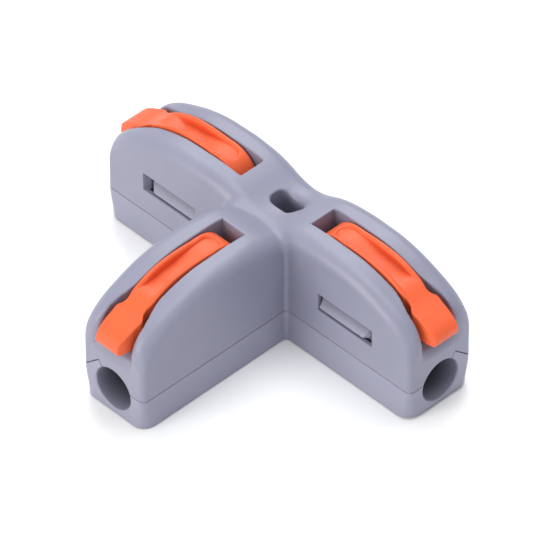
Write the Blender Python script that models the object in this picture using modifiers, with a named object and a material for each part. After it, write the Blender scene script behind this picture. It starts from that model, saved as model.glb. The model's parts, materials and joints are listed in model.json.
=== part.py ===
"""Three-way lever wire connector in a T layout, modelled as separate pieces.

Frame: the origin is on the resting plane, under the middle of the straight run.
+X is along the run, -Y along the stem and +Z up, out of the levers. Metres.

Each arm hangs on an empty that is turned to it, and is drawn in the arm's own
coordinates: a runs outwards along the arm, u across it and z up. A depth is
measured inwards from the arm's end face, so a = reach - depth.
"""
import math

import bmesh
import bpy

MM = 0.001


def mm_points(*pairs):
    return [(x * MM, y * MM) for x, y in pairs]


# ---- overall sizes ----
ARM_WIDTH = 8.6 * MM
RUN_REACH = 21.5 * MM
STEM_REACH = 23.8 * MM
HUB_TOP_Z = 12.4 * MM
EDGE_RADIUS = 1.3 * MM
END_TURN_UP = (2.9 * MM, 0.35 * MM)
TURN_UP_STEPS = 5
SKY = 16.0 * MM
STEM_ROOT_DROP = 0.1 * MM

# ---- gap between pieces that meet, and how far cutters run on ----
PIECE_GAP = 0.3 * MM
PAST = 1.0 * MM
OVERLAP = 0.5 * MM
WASTE_Z = 2.0 * MM
WASTE_REACH = 30.0 * MM

# ---- crest of an arm, as (depth, z) ----
CREST = mm_points(
    (0.0, 8.4), (0.15, 9.2), (0.5, 10.1), (1.3, 11.1), (2.6, 11.95), (4.2, 12.7),
    (6.4, 13.52), (9.0, 14.1), (12.0, 14.25), (14.5, 14.22), (16.5, 13.98),
    (18.0, 13.48), (19.3, 12.92), (20.6, 12.52), (21.5, 12.4),
)

# ---- seam between the housing and the base ----
BASE_TOP_Z = 3.6 * MM
EAR_DEPTH = 1.6 * MM
EAR_OUTLINE = mm_points((4.7, 3.0), (4.7, 3.25), (2.0, 5.7), (1.4, 4.8), (1.4, 3.0))

# ---- round wire port ----
PORT_Z = 3.1 * MM
PORT_RADIUS = 2.3 * MM
PORT_RIM = 0.16 * MM
PORT_RIM_DEPTH = 0.2 * MM
PORT_DEPTH = 5.6 * MM
PORT_TAPER = 1.0 * MM
CORE_RADIUS = 1.35 * MM
CORE_DEPTH = 7.5 * MM

# ---- lever channel ----
CHANNEL_HALF = 1.6 * MM
CHANNEL_MOUTH_HALF = 2.3 * MM
CHANNEL_FLARE = (1.8 * MM, 5.2 * MM)
CHANNEL_FLOOR_Z = 8.3 * MM
CHANNEL_LIP_Z = 7.5 * MM
CHANNEL_INNER_DEPTH = 16.5 * MM
STOP_DEPTH = (4.7 * MM, 5.9 * MM)
STOP_TOP_Z = 10.72 * MM

# ---- chamber for the clamp, under the lever ----
CHAMBER_DEPTH = (6.9 * MM, 16.9 * MM)
CHAMBER_HALF = 2.6 * MM
CHAMBER_TOP_Z = 9.85 * MM
TROUGH_HALF = 2.3 * MM
TROUGH_FLOOR_Z = 0.9 * MM

# ---- snap hooks of the base and their windows ----
WINDOW_DEPTH = (5.35 * MM, 12.85 * MM)
WINDOW_Z = (6.7 * MM, 8.85 * MM)
HOOK_DEPTH = (6.45 * MM, 12.5 * MM)
HOOK_SECTION = mm_points(
    (2.9, 3.0), (3.5, 3.0), (3.5, 6.95), (4.05, 6.95), (4.05, 7.3), (3.5, 8.45), (3.5, 8.7), (2.9, 8.7),
)
HOOK_ROOM_HALF = 3.72 * MM
HOOK_ROOM_TOP_Z = 9.2 * MM

# ---- lever ----
PIVOT_DEPTH = 12.8 * MM
PIVOT_Z = 11.0 * MM
HUB_RADIUS = 3.25 * MM
HUB_HALF = 1.46 * MM
LEVER_EDGE = 0.22 * MM
CAM_FLAT = 1.2 * MM
TRUNNION_RADIUS = 1.0 * MM
TRUNNION_HALF = 2.5 * MM
BEARING_RADIUS = TRUNNION_RADIUS + PIECE_GAP
BEARING_HALF = TRUNNION_HALF + PIECE_GAP
BEARING_MOUTH_HALF = 0.92 * MM
RECESS_HALF = 0.9 * MM
RECESS_FLOOR_Z = 13.5 * MM
RECESS_SPAN = (4.4 * MM, 14.15 * MM)

# ---- lever's side view and widths, as (depth, value) ----
LEVER_TOP = mm_points(
    (-0.8, 9.85), (-0.4, 10.35), (0.6, 10.95), (2.6, 11.85), (4.8, 13.15),
    (6.0, 13.72), (7.4, 14.1), (9.0, 14.28), (10.6, 14.28), (12.3, 14.1),
)
LEVER_UNDER = mm_points(
    (-0.8, 8.95), (0.6, 9.05), (1.8, 9.2), (2.5, 9.5), (3.2, 10.15), (4.2, 10.8),
    (5.4, 11.1), (7.0, 11.4), (12.3, 11.5),
)
LEVER_TOP_HALF = mm_points((-0.8, 1.4), (-0.4, 1.55), (0.6, 1.66), (2.2, 1.66), (3.6, 1.35), (4.4, 1.43))
LEVER_UNDER_HALF = mm_points(
    (-0.8, 1.55), (-0.4, 1.7), (0.6, 2.0), (2.0, 2.0), (2.7, 1.65), (3.4, 1.3), (4.4, 1.43),
)
LEVER_STATIONS = (
    -0.8, -0.6, -0.3, 0.1, 0.6, 1.2, 2.0, 2.4, 2.8, 3.1, 3.4, 3.8, 4.4,
    5.2, 6.0, 6.8, 7.6, 8.4, 9.4, 10.4, 11.4, 12.3,
)

# ---- current bar and clamp springs ----
BAR_Z = (4.3 * MM, 5.1 * MM)
BAR_HALF = 1.1 * MM
BAR_HUB_HALF = 2.1 * MM
BAR_END_DEPTH = 7.8 * MM
BAR_STEP = (6.2 * MM, 7.2 * MM)
BAR_WAY_RUN = 6.0 * MM
BAR_WAY_STEM = 8.5 * MM
SEAT_RUN = 4.2 * MM
SEAT_STEM = (1.0 * MM, 6.4 * MM)
SEAT_LOW_Z = 3.0 * MM
SPRING_HALF = 1.9 * MM
SPRING_SHEET = 0.3 * MM
SPRING_WINDOW_HALF = 1.4 * MM
SPRING_LOOP_DEPTH = 14.3 * MM
SPRING_LOOP_Z = 7.5 * MM
SPRING_LOOP_RADIUS = 1.95 * MM
SPRING_FOOT = 2.6 * MM
SPRING_LEVEL_END_DEPTH = 11.6 * MM
SPRING_KNEE = (10.0 * MM, 9.2 * MM)
SPRING_BEND_RADIUS = 0.9 * MM
SPRING_BEND_Z = 8.3 * MM
SPRING_LEG_DEPTH = 8.7 * MM
SPRING_LEG_Z = (3.4 * MM, 7.9 * MM)
SPRING_WINDOW_TOP_Z = 7.3 * MM

# ---- middle port over the bar ----
MIDDLE_PORT = (3.4 * MM, 2.3 * MM)
MIDDLE_PORT_CORNER = 0.85 * MM


class Arm:
    """One arm: its turn, its reach and the side its seam ear stands on."""

    def __init__(self, name, turn_deg, reach, ear_side, has_hooks):
        self.name = name
        self.reach = reach
        self.ear_side = ear_side
        self.has_hooks = has_hooks
        self.root = bpy.data.objects.new("arm_" + name, None)
        self.root.rotation_euler = (0.0, 0.0, math.radians(turn_deg))

    def at(self, depth):
        return self.reach - depth


def clear_scene():
    for obj in list(bpy.data.objects):
        bpy.data.objects.remove(obj, do_unlink=True)


def make_collection(name):
    coll = bpy.data.collections.new(name)
    bpy.context.scene.collection.children.link(coll)
    return coll


def make_material(name, color, roughness, metallic=0.0):
    mat = bpy.data.materials.new(name)
    mat.use_nodes = True
    bsdf = mat.node_tree.nodes["Principled BSDF"]
    bsdf.inputs["Base Color"].default_value = (*color, 1.0)
    bsdf.inputs["Roughness"].default_value = roughness
    bsdf.inputs["Metallic"].default_value = metallic
    mat.diffuse_color = (*color, 1.0)
    return mat


def place(obj, coll, parent, location=(0.0, 0.0, 0.0), rotation=(0.0, 0.0, 0.0)):
    """Link the object; what goes in the cutters collection is only a guide."""
    coll.objects.link(obj)
    obj.parent = parent
    obj.location = location
    obj.rotation_euler = rotation
    if coll.name == "cutters":
        obj.hide_render = True
        obj.display_type = "WIRE"
    return obj


def object_from_bmesh(name, bm):
    bmesh.ops.recalc_face_normals(bm, faces=bm.faces)
    mesh = bpy.data.meshes.new(name)
    bm.to_mesh(mesh)
    bm.free()
    mesh.shade_smooth()
    mesh.set_sharp_from_angle(angle=math.radians(35.0))
    return bpy.data.objects.new(name, mesh)


def cube(name, low, high, coll, parent=None):
    bm = bmesh.new()
    bmesh.ops.create_cube(bm, size=1.0)
    bmesh.ops.scale(bm, vec=[h - l for l, h in zip(low, high)], verts=bm.verts)
    centre = [(l + h) / 2.0 for l, h in zip(low, high)]
    return place(object_from_bmesh(name, bm), coll, parent, centre)


def drum(name, radius, half, centre, coll, parent=None, segments=64):
    """Cylinder whose axis lies across the arm."""
    bm = bmesh.new()
    bmesh.ops.create_cone(
        bm, cap_ends=True, segments=segments, radius1=radius, radius2=radius, depth=2.0 * half
    )
    quarter = math.radians(90.0)
    return place(object_from_bmesh(name, bm), coll, parent, centre, (quarter, 0.0, 0.0))


def mesh_from_curve(name, points, half, cyclic):
    """2D outline, filled when closed, extruded half to each side, as a mesh."""
    curve = bpy.data.curves.new(name, "CURVE")
    curve.dimensions = "2D"
    curve.fill_mode = "BOTH" if cyclic else "NONE"
    curve.extrude = half
    spline = curve.splines.new("POLY")
    spline.points.add(len(points) - 1)
    for point, (x, y) in zip(spline.points, points):
        point.co = (x, y, 0.0, 1.0)
    spline.use_cyclic_u = cyclic
    guide = bpy.data.objects.new(name + "_guide", curve)
    bpy.context.scene.collection.objects.link(guide)
    graph = bpy.context.evaluated_depsgraph_get()
    mesh = bpy.data.meshes.new_from_object(guide.evaluated_get(graph))
    bpy.data.objects.remove(guide, do_unlink=True)
    bm = bmesh.new()
    bm.from_mesh(mesh)
    bpy.data.meshes.remove(mesh)
    bmesh.ops.remove_doubles(bm, verts=bm.verts, dist=1e-7)
    bmesh.ops.dissolve_limit(bm, angle_limit=1e-3, verts=bm.verts, edges=bm.edges)
    return object_from_bmesh(name, bm)


TURNS = {
    "side": (math.radians(90.0), 0.0, 0.0),
    "plan": (0.0, 0.0, 0.0),
    "section": (math.radians(90.0), 0.0, math.radians(90.0)),
}
THICKNESS_AXIS = {"side": 1, "plan": 2, "section": 0}


def plate(name, view, outline, span, coll, parent=None):
    """Flat outline given in a view, filling span along the view's third axis.

    The views are side (a, z), plan (a, u) and section (u, z).
    """
    low, high = span
    obj = mesh_from_curve(name, outline, (high - low) / 2.0, True)
    location = [0.0, 0.0, 0.0]
    location[THICKNESS_AXIS[view]] = (low + high) / 2.0
    return place(obj, coll, parent, location, TURNS[view])


def turned_along_arm(name, profile, centre_z, coll, parent):
    """Solid of revolution about the arm's direction; profile holds (radius, a)."""
    mesh = bpy.data.meshes.new(name)
    points = [(radius, 0.0, a) for radius, a in profile]
    edges = [(i, i + 1) for i in range(len(points) - 1)]
    mesh.from_pydata(points, edges, [])
    obj = bpy.data.objects.new(name, mesh)
    screw = obj.modifiers.new("turn", "SCREW")
    screw.steps = 48
    screw.render_steps = 48
    screw.use_merge_vertices = True
    screw.merge_threshold = 1e-6
    return place(obj, coll, parent, (0.0, 0.0, centre_z), (0.0, math.radians(90.0), 0.0))


def loft(name, rings, coll, parent, location=(0.0, 0.0, 0.0)):
    """Skin over rings with the same number of points, closed at both ends."""
    bm = bmesh.new()
    rows = [[bm.verts.new(point) for point in ring] for ring in rings]
    for lower, upper in zip(rows, rows[1:]):
        for i in range(len(lower)):
            j = (i + 1) % len(lower)
            bm.faces.new((lower[i], lower[j], upper[j], upper[i]))
    bm.faces.new(rows[0])
    bm.faces.new(rows[-1])
    return place(object_from_bmesh(name, bm), coll, parent, location)


def boolean(obj, operation, *tools):
    for tool in tools:
        mod = obj.modifiers.new(operation.lower() + "_" + tool.name, "BOOLEAN")
        mod.operation = operation
        mod.solver = "EXACT"
        mod.object = tool
    return obj


def blend_between(x, low, high):
    t = min(max((x - low) / (high - low), 0.0), 1.0)
    return t * t * (3.0 - 2.0 * t)


def curve_value(points, x):
    """Monotone cubic curve through the points."""
    xs = [p[0] for p in points]
    ys = [p[1] for p in points]
    if x <= xs[0]:
        return ys[0]
    if x >= xs[-1]:
        return ys[-1]
    slopes = [(ys[i + 1] - ys[i]) / (xs[i + 1] - xs[i]) for i in range(len(xs) - 1)]
    tangents = [slopes[0]]
    for left, right in zip(slopes, slopes[1:]):
        tangents.append(2.0 * left * right / (left + right) if left * right > 0.0 else 0.0)
    tangents.append(0.0)
    k = max(i for i in range(len(slopes)) if xs[i] <= x)
    step = xs[k + 1] - xs[k]
    t = (x - xs[k]) / step
    start = (2.0 * t ** 3 - 3.0 * t ** 2 + 1.0) * ys[k]
    leave = (t ** 3 - 2.0 * t ** 2 + t) * step * tangents[k]
    finish = (3.0 * t ** 2 - 2.0 * t ** 3) * ys[k + 1]
    arrive = (t ** 3 - t ** 2) * step * tangents[k + 1]
    return start + leave + finish + arrive


# ---------------------------------------------------------------- the case

def crest_outline(reach):
    """Top line of an arm as (a, z), from its end face in to the hub."""
    depths = [0.0, 0.05, 0.15, 0.3, 0.5, 0.85, 1.3, 1.9, 2.6, 3.6, 4.8, 6.2, 7.8]
    depths += [9.4, 11.0, 12.6, 14.0, 15.2, 16.2, 17.2, 18.2, 19.2, 20.2]
    return [(reach - d * MM, curve_value(CREST, d * MM)) for d in depths]


def mirrored(points):
    return [(-x, y) for x, y in reversed(points)]


def arm_outline(reach):
    """Side view of one arm as (a, z), from the bottom of its end to the hub."""
    return [(reach, 0.0)] + crest_outline(reach)


def round_edges(obj):
    """Round an arm's top and end edges; its bottom edges stay sharp."""
    mesh = obj.data
    weights = mesh.attributes.new("bevel_weight_edge", "FLOAT", "EDGE")
    for edge in mesh.edges:
        first, second = [mesh.vertices[i].co for i in edge.vertices]
        across = first.z * second.z < 0.0
        below = max(first.y, second.y) < 1e-6
        weights.data[edge.index].value = 0.0 if across or below else 1.0
    bevel = obj.modifiers.new("rounded edges", "BEVEL")
    bevel.limit_method = "WEIGHT"
    bevel.width = EDGE_RADIUS
    bevel.segments = 5
    bevel.use_clamp_overlap = False
    return obj


def run_body(name, coll):
    right = arm_outline(RUN_REACH)
    outline = right + [(0.0, HUB_TOP_Z)] + mirrored(right)
    half = ARM_WIDTH / 2.0
    return round_edges(plate(name, "side", outline, (-half, half), coll))


def stem_body(stem, coll):
    root_z = HUB_TOP_Z - STEM_ROOT_DROP
    outline = [(0.0, 0.0)] + arm_outline(STEM_REACH) + [(0.0, root_z)]
    half = ARM_WIDTH / 2.0
    return round_edges(plate("stem_body", "side", outline, (-half, half), coll, stem.root))


def seam_block(name, grow, arms, coll):
    """All that lies below the seam, with an ear standing up beside each port."""
    low = (-WASTE_REACH, -WASTE_REACH, -PAST)
    block = cube(name, low, (WASTE_REACH, WASTE_REACH, BASE_TOP_Z + grow), coll)
    for arm in arms:
        outline = []
        for u, z in EAR_OUTLINE:
            inward = grow if u < ARM_WIDTH / 2.0 else 0.0
            outline.append((arm.ear_side * (u - inward), z + grow))
        span = (arm.at(EAR_DEPTH) - grow, arm.reach + PAST)
        ear = plate(name + "_ear_" + arm.name, "section", outline, span, coll, arm.root)
        boolean(block, "UNION", ear)
    return block


# ---------------------------------------------------------------- openings

def wire_port(arm, coll):
    mouth = arm.reach + PAST
    rim = PORT_RADIUS + PORT_RIM
    profile = (
        (0.0, mouth), (rim, mouth), (rim, arm.reach), (PORT_RADIUS, arm.at(PORT_RIM_DEPTH)),
        (PORT_RADIUS, arm.at(PORT_DEPTH)), (CORE_RADIUS, arm.at(PORT_DEPTH + PORT_TAPER)),
        (CORE_RADIUS, arm.at(CORE_DEPTH)), (0.0, arm.at(CORE_DEPTH)),
    )
    return turned_along_arm("wire_port_" + arm.name, profile, PORT_Z, coll, arm.root)


def channel_half(depth):
    flare = CHANNEL_MOUTH_HALF - CHANNEL_HALF
    return CHANNEL_MOUTH_HALF - flare * blend_between(depth, *CHANNEL_FLARE)


def lever_channel(arm, coll):
    """Channel that the lever lies in, flared towards the arm's end."""
    near, far = CHANNEL_FLARE
    depths = [-PAST] + [near + (far - near) * i / 6 for i in range(7)]
    side = [(arm.at(d), channel_half(d)) for d in depths]
    side.append((arm.at(CHAMBER_DEPTH[0] + OVERLAP), CHANNEL_HALF))
    outline = side + [(a, -u) for a, u in reversed(side)]
    return plate("channel_" + arm.name, "plan", outline, (CHANNEL_FLOOR_Z, SKY), coll, arm.root)


def channel_lip(arm, coll):
    """Slope from the channel's floor down to the end face."""
    start = CHANNEL_FLARE[0]
    drop = CHANNEL_FLOOR_Z - CHANNEL_LIP_Z
    over = CHANNEL_FLOOR_Z + OVERLAP
    outline = [
        (arm.at(start), over), (arm.at(start), CHANNEL_FLOOR_Z), (arm.reach, CHANNEL_LIP_Z),
        (arm.reach + PAST, CHANNEL_LIP_Z - drop * PAST / start), (arm.reach + PAST, over),
    ]
    half = CHANNEL_MOUTH_HALF
    return plate("channel_lip_" + arm.name, "side", outline, (-half, half), coll, arm.root)


def lever_pocket(arm, coll):
    """Deep end of the channel, open down to the chamber."""
    low = (arm.at(CHANNEL_INNER_DEPTH), -CHANNEL_HALF, CHAMBER_TOP_Z - OVERLAP)
    high = (arm.at(CHAMBER_DEPTH[0]), CHANNEL_HALF, SKY)
    return cube("pocket_" + arm.name, low, high, coll, arm.root)


def lever_stop(arm, coll):
    """Rib across the channel that the closed lever rests on."""
    half = CHANNEL_HALF + OVERLAP
    low = (arm.at(STOP_DEPTH[1]), -half, CHANNEL_FLOOR_Z - OVERLAP)
    high = (arm.at(STOP_DEPTH[0]), half, STOP_TOP_Z)
    return cube("stop_" + arm.name, low, high, coll, arm.root)


def chamber(arm, coll):
    low = (arm.at(CHAMBER_DEPTH[1]), -CHAMBER_HALF, WASTE_Z)
    high = (arm.at(CHAMBER_DEPTH[0]), CHAMBER_HALF, CHAMBER_TOP_Z)
    return cube("chamber_" + arm.name, low, high, coll, arm.root)


def bearing(arm, coll):
    """Bearing holes for the lever's trunnions, open below to snap them in."""
    a = arm.at(PIVOT_DEPTH)
    centre = (a, 0.0, PIVOT_Z)
    hole = drum("bearing_" + arm.name, BEARING_RADIUS, BEARING_HALF, centre, coll, arm.root, 48)
    low = (a - BEARING_MOUTH_HALF, -BEARING_HALF, CHAMBER_TOP_Z - OVERLAP)
    high = (a + BEARING_MOUTH_HALF, BEARING_HALF, PIVOT_Z)
    mouth = cube("bearing_mouth_" + arm.name, low, high, coll, arm.root)
    return hole, mouth


def hook_openings(arm, coll):
    """Windows through both side walls, and the room the hooks stand in."""
    low = (arm.at(WINDOW_DEPTH[1]), -ARM_WIDTH, WINDOW_Z[0])
    high = (arm.at(WINDOW_DEPTH[0]), ARM_WIDTH, WINDOW_Z[1])
    window = cube("window_" + arm.name, low, high, coll, arm.root)
    low = (arm.at(HOOK_DEPTH[1]) - PIECE_GAP, -HOOK_ROOM_HALF, WASTE_Z)
    high = (arm.at(HOOK_DEPTH[0]) + PIECE_GAP, HOOK_ROOM_HALF, HOOK_ROOM_TOP_Z)
    room = cube("hook_room_" + arm.name, low, high, coll, arm.root)
    return window, room


def bar_way(name, start, end, coll, parent):
    """Passage in the housing that the current bar lies in."""
    half = BAR_HUB_HALF + PIECE_GAP
    low = (start, -half, WASTE_Z)
    return cube(name, low, (end, half, BAR_Z[1] + PIECE_GAP), coll, parent)


def middle_port(coll):
    """Oblong port in the top of the hub, down to the bar."""
    length, width = MIDDLE_PORT
    radius = MIDDLE_PORT_CORNER
    outline = []
    for quarter, (sx, sy) in enumerate(((1, 1), (-1, 1), (-1, -1), (1, -1))):
        for i in range(7):
            t = math.radians(90.0) * (quarter + i / 6)
            x = sx * (length / 2.0 - radius) + radius * math.cos(t)
            y = sy * (width / 2.0 - radius) + radius * math.sin(t)
            outline.append((x, y))
    return plate("middle_port", "plan", outline, (BAR_Z[1] - OVERLAP, SKY), coll)


# ---------------------------------------------------------------- pieces

def build_housing(arms, stem_shape, parts, coll):
    housing = run_body("upper_housing", parts)
    boolean(housing, "UNION", stem_shape)
    boolean(housing, "DIFFERENCE", seam_block("seam_room", PIECE_GAP, arms, coll))
    for arm in arms:
        boolean(housing, "DIFFERENCE", lever_channel(arm, coll), channel_lip(arm, coll))
        boolean(housing, "UNION", lever_stop(arm, coll))
        boolean(housing, "DIFFERENCE", chamber(arm, coll), lever_pocket(arm, coll))
        boolean(housing, "DIFFERENCE", *bearing(arm, coll), wire_port(arm, coll))
        if arm.has_hooks:
            boolean(housing, "DIFFERENCE", *hook_openings(arm, coll))
    boolean(housing, "DIFFERENCE", bar_way("bar_way_run", -BAR_WAY_RUN, BAR_WAY_RUN, coll, None))
    boolean(housing, "DIFFERENCE", bar_way("bar_way_stem", 0.0, BAR_WAY_STEM, coll, arms[-1].root))
    boolean(housing, "DIFFERENCE", middle_port(coll))
    return housing


def snap_hook(arm, side, coll):
    """Upright tongue with a wedge nose that catches in the window."""
    outline = [(side * u, z) for u, z in HOOK_SECTION]
    span = (arm.at(HOOK_DEPTH[1]), arm.at(HOOK_DEPTH[0]))
    label = "hook_" + arm.name + ("_left" if side > 0 else "_right")
    return plate(label, "section", outline, span, coll, arm.root)


def end_turn_up(arm, coll):
    """Waste below a run end, whose bottom curves up to the end face."""
    length, rise = END_TURN_UP
    corner = arm.reach + PAST
    outline = [(arm.at(length), -PAST), (corner, -PAST), (corner, rise)]
    for i in range(TURN_UP_STEPS + 1):
        share = 1.0 - i / TURN_UP_STEPS
        outline.append((arm.at(length) + length * share, rise * share ** 2))
    return plate("turn_up_" + arm.name, "side", outline, (-ARM_WIDTH, ARM_WIDTH), coll, arm.root)


def base_trough(arm, coll):
    low = (arm.at(CHAMBER_DEPTH[1] - OVERLAP), -TROUGH_HALF, TROUGH_FLOOR_Z)
    high = (arm.at(CHAMBER_DEPTH[0]), TROUGH_HALF, CHAMBER_TOP_Z)
    return cube("trough_" + arm.name, low, high, coll, arm.root)


def bar_seat(name, start, end, coll, parent):
    """Raised pad that holds the current bar from below."""
    low = (start, -BAR_HUB_HALF, SEAT_LOW_Z)
    return cube(name, low, (end, BAR_HUB_HALF, BAR_Z[0] - PIECE_GAP), coll, parent)


def build_base(arms, stem_shape, parts, coll):
    base = run_body("base", parts)
    boolean(base, "UNION", stem_shape)
    boolean(base, "INTERSECT", seam_block("seam_base", 0.0, arms, coll))
    boolean(base, "UNION", bar_seat("bar_seat_run", -SEAT_RUN, SEAT_RUN, coll, None))
    boolean(base, "UNION", bar_seat("bar_seat_stem", *SEAT_STEM, coll, arms[-1].root))
    for arm in arms:
        if arm.has_hooks:
            boolean(base, "UNION", snap_hook(arm, 1.0, coll), snap_hook(arm, -1.0, coll))
            boolean(base, "DIFFERENCE", end_turn_up(arm, coll))
        boolean(base, "DIFFERENCE", base_trough(arm, coll), wire_port(arm, coll))
    return base


def lever_ring(depth):
    """Section of the lever at a depth, wider below than above on the thumb pad."""
    top = curve_value(LEVER_TOP, depth)
    under = curve_value(LEVER_UNDER, depth)
    wide_top = curve_value(LEVER_TOP_HALF, depth)
    wide_under = curve_value(LEVER_UNDER_HALF, depth)
    half = [
        (wide_under - LEVER_EDGE, under), (wide_under, under + LEVER_EDGE),
        ((wide_under + wide_top) / 2.0, (under + top) / 2.0),
        (wide_top, top - LEVER_EDGE), (wide_top - LEVER_EDGE, top),
    ]
    a = PIVOT_DEPTH - depth
    ring = [(a, u, z - PIVOT_Z) for u, z in half]
    return ring + [(a, -u, z - PIVOT_Z) for u, z in reversed(half)]


def lever_recess(arm, coll):
    """Flat-bottomed groove in the lever's arched back, with a round inner end."""
    start, end = RECESS_SPAN
    centre = end - RECESS_HALF
    outline = [(arm.at(start), RECESS_HALF), (arm.at(start), -RECESS_HALF)]
    for i in range(13):
        t = math.radians(180.0) * i / 12
        depth = centre + RECESS_HALF * math.sin(t)
        outline.append((arm.at(depth), -RECESS_HALF * math.cos(t)))
    return plate("recess_" + arm.name, "plan", outline, (RECESS_FLOOR_Z, SKY), coll, arm.root)


def cam_flat(arm, coll):
    """Takes the bottom off the hub, so a closed lever leaves the spring free."""
    a = arm.at(PIVOT_DEPTH)
    reach = HUB_RADIUS + PAST
    half = HUB_HALF + PAST
    low = (a - reach, -half, PIVOT_Z - reach)
    return cube("cam_flat_" + arm.name, low, (a + reach, half, PIVOT_Z - CAM_FLAT), coll, arm.root)


def build_lever(arm, parts, coll):
    """Lever with its origin on its hinge axis."""
    pivot = (arm.at(PIVOT_DEPTH), 0.0, PIVOT_Z)
    rings = [lever_ring(d * MM) for d in LEVER_STATIONS]
    lever = loft("lever_" + arm.name, rings, parts, arm.root, pivot)
    hub = drum("hub_" + arm.name, HUB_RADIUS, HUB_HALF, pivot, coll, arm.root)
    trunnions = drum("trunnions_" + arm.name, TRUNNION_RADIUS, TRUNNION_HALF, pivot, coll, arm.root, 48)
    boolean(lever, "UNION", hub)
    boolean(lever, "DIFFERENCE", cam_flat(arm, coll))
    boolean(lever, "UNION", trunnions)
    boolean(lever, "DIFFERENCE", lever_recess(arm, coll))
    return lever


def spring_path(arm):
    """Side view of the spring strip, from its foot on the bar to its clamping edge."""
    a = arm.at(SPRING_LOOP_DEPTH)
    radius = SPRING_LOOP_RADIUS
    path = [(a + SPRING_FOOT, SPRING_LOOP_Z - radius)]
    for i in range(15):
        t = math.radians(270.0 - 180.0 * i / 14)
        path.append((a + radius * math.cos(t), SPRING_LOOP_Z + radius * math.sin(t)))
    leg = arm.at(SPRING_LEG_DEPTH)
    bend = SPRING_BEND_RADIUS
    knee_depth, knee_z = SPRING_KNEE
    path.append((arm.at(SPRING_LEVEL_END_DEPTH), SPRING_LOOP_Z + radius))
    path.append((arm.at(knee_depth), knee_z))
    for angle in (70.0, 45.0, 20.0):
        t = math.radians(angle)
        path.append((leg - bend + bend * math.cos(t), SPRING_BEND_Z + bend * math.sin(t)))
    return path + [(leg, SPRING_LEG_Z[1]), (leg, SPRING_LEG_Z[0])]


def build_spring(arm, parts, coll):
    """Bent strip with a window that the bar and the wire pass through."""
    spring = mesh_from_curve("clamp_spring_" + arm.name, spring_path(arm), SPRING_HALF, False)
    place(spring, parts, arm.root, (0.0, 0.0, 0.0), TURNS["side"])
    sheet = spring.modifiers.new("sheet", "SOLIDIFY")
    sheet.thickness = SPRING_SHEET
    sheet.offset = 0.0
    leg = arm.at(SPRING_LEG_DEPTH)
    low = (leg - OVERLAP, -SPRING_WINDOW_HALF, BAR_Z[0] - PIECE_GAP)
    high = (leg + OVERLAP, SPRING_WINDOW_HALF, SPRING_WINDOW_TOP_Z)
    window = cube("spring_window_" + arm.name, low, high, coll, arm.root)
    return boolean(spring, "DIFFERENCE", window)


def build_bar(parts):
    """T-shaped bar, wide in the hub and narrow where it enters the springs."""
    run = RUN_REACH - BAR_END_DEPTH
    stem = BAR_END_DEPTH - STEM_REACH
    shoulder, step = BAR_STEP
    narrow, wide = BAR_HALF, BAR_HUB_HALF
    right = [
        (narrow, stem), (narrow, -step), (wide, -shoulder), (wide, -wide), (shoulder, -wide),
        (step, -narrow), (run, -narrow), (run, narrow), (step, narrow), (shoulder, wide),
    ]
    return plate("current_bar", "plan", right + mirrored(right), BAR_Z, parts)


def paint(obj, mat):
    obj.data.materials.clear()
    obj.data.materials.append(mat)


def build():
    clear_scene()
    parts = make_collection("lever_wire_connector")
    cutters = make_collection("cutters")
    arms = (
        Arm("right", 0.0, RUN_REACH, 1.0, True),
        Arm("left", 180.0, RUN_REACH, -1.0, True),
        Arm("stem", -90.0, STEM_REACH, -1.0, False),
    )
    for arm in arms:
        parts.objects.link(arm.root)
    stem_shape = stem_body(arms[-1], cutters)
    housing = build_housing(arms, stem_shape, parts, cutters)
    paint(housing, make_material("housing_plastic", (0.36, 0.36, 0.47), 0.42))
    base = build_base(arms, stem_shape, parts, cutters)
    paint(base, make_material("base_plastic", (0.34, 0.34, 0.44), 0.42))
    paint(build_bar(parts), make_material("bar_metal", (0.80, 0.78, 0.74), 0.25, 1.0))
    for arm in arms:
        orange = make_material("lever_plastic_" + arm.name, (0.95, 0.19, 0.05), 0.38)
        paint(build_lever(arm, parts, cutters), orange)
        steel = make_material("spring_steel_" + arm.name, (0.62, 0.63, 0.65), 0.22, 1.0)
        paint(build_spring(arm, parts, cutters), steel)


build()
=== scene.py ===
"""Looks of the three-way lever wire connector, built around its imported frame.

Moulded pieces are distance functions in millimetres: negative inside, positive
outside. Each is sampled on a grid, skinned with quads and settled onto its exact
surface, which gives every edge its own moulded radius. An arm has coordinates of
its own: depth inwards from its end face, u across it and z up.
"""
import itertools
import json
import math

import bpy
import numpy as np
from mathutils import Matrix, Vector


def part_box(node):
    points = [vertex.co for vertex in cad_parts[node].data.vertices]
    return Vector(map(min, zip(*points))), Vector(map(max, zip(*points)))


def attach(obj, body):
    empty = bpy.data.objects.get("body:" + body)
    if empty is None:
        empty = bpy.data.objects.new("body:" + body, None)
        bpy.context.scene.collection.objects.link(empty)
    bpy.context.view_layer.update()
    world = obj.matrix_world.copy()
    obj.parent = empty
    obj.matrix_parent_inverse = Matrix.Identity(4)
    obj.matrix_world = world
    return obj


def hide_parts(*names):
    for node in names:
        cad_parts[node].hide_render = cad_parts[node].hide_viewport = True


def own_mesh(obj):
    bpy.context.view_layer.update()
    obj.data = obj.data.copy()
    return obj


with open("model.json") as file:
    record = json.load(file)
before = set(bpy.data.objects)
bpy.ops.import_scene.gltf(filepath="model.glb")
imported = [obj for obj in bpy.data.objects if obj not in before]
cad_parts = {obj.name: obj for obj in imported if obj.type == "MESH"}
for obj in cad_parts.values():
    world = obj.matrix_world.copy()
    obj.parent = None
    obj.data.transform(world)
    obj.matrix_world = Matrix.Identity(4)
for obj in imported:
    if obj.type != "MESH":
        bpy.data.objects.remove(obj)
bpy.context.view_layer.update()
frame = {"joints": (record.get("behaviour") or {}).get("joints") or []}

MM = 0.001

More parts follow.
